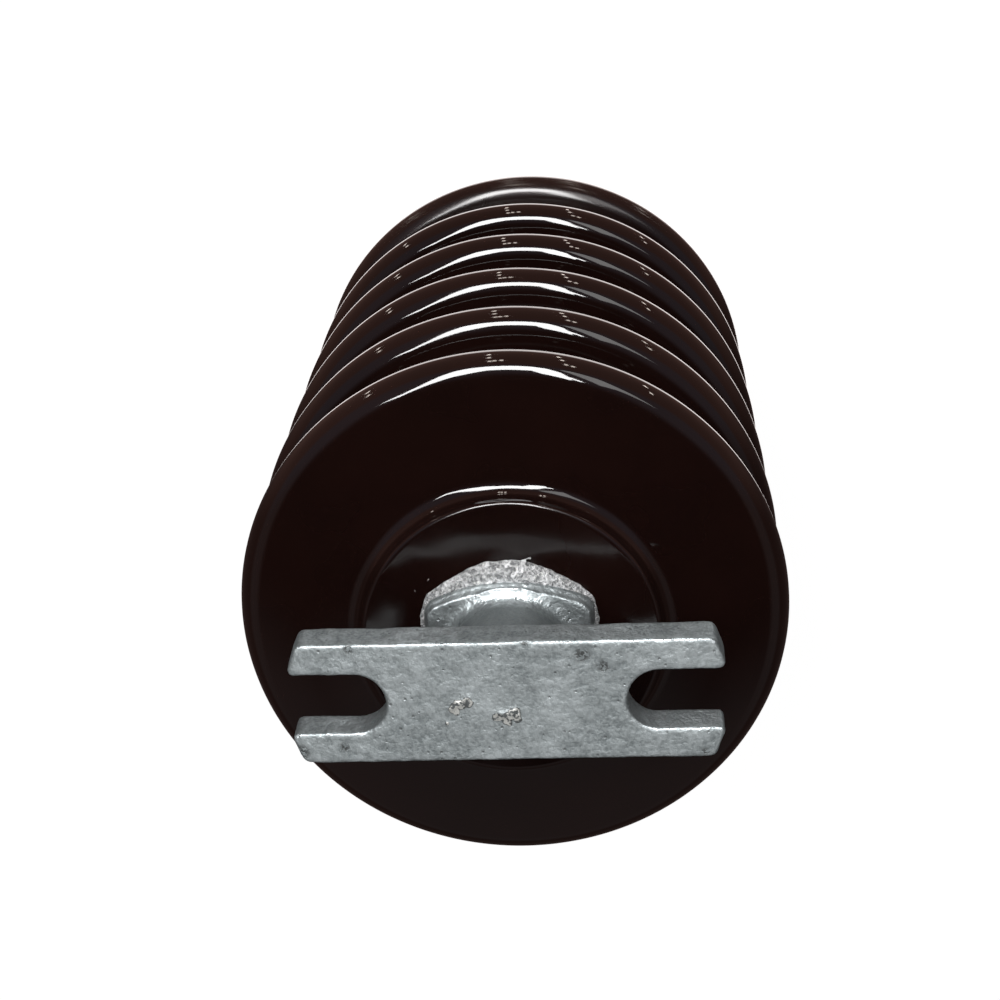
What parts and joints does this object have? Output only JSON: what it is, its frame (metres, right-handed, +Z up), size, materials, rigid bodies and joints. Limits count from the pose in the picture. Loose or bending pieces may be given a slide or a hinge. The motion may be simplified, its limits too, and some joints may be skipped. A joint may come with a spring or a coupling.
{
  "type": "porcelain post insulator",
  "caption": "Post insulator with a glazed porcelain column of round sheds and a galvanised slotted bar fitting cemented into each end.",
  "frame": {"origin": "centre of the lower bar's seat face, which is the bottom of the insulator", "axes": "+Z up the porcelain column's axis to the upper bar, X along both slotted bars, Y across them"},
  "size_m": [0.1486, 0.1486, 0.2921],
  "materials": {
    "glazed_porcelain": "gloss",
    "galvanised_iron": "satin",
    "cement": "matte",
    "fired_sand": "matte",
    "bitumen": "satin",
    "cork_pad": "matte"
  },
  "bodies": {
    "root": {"porcelain_body": "glazed_porcelain", "top_fitting": "galvanised_iron", "top_cement": "cement", "top_sand_band": "fired_sand", "top_bitumen_coat": "bitumen", "top_cushion_pad": "cork_pad", "bottom_fitting": "galvanised_iron", "bottom_cement": "cement", "bottom_sand_band": "fired_sand", "bottom_bitumen_coat": "bitumen", "bottom_cushion_pad": "cork_pad"}
  },
  "joints": []
}
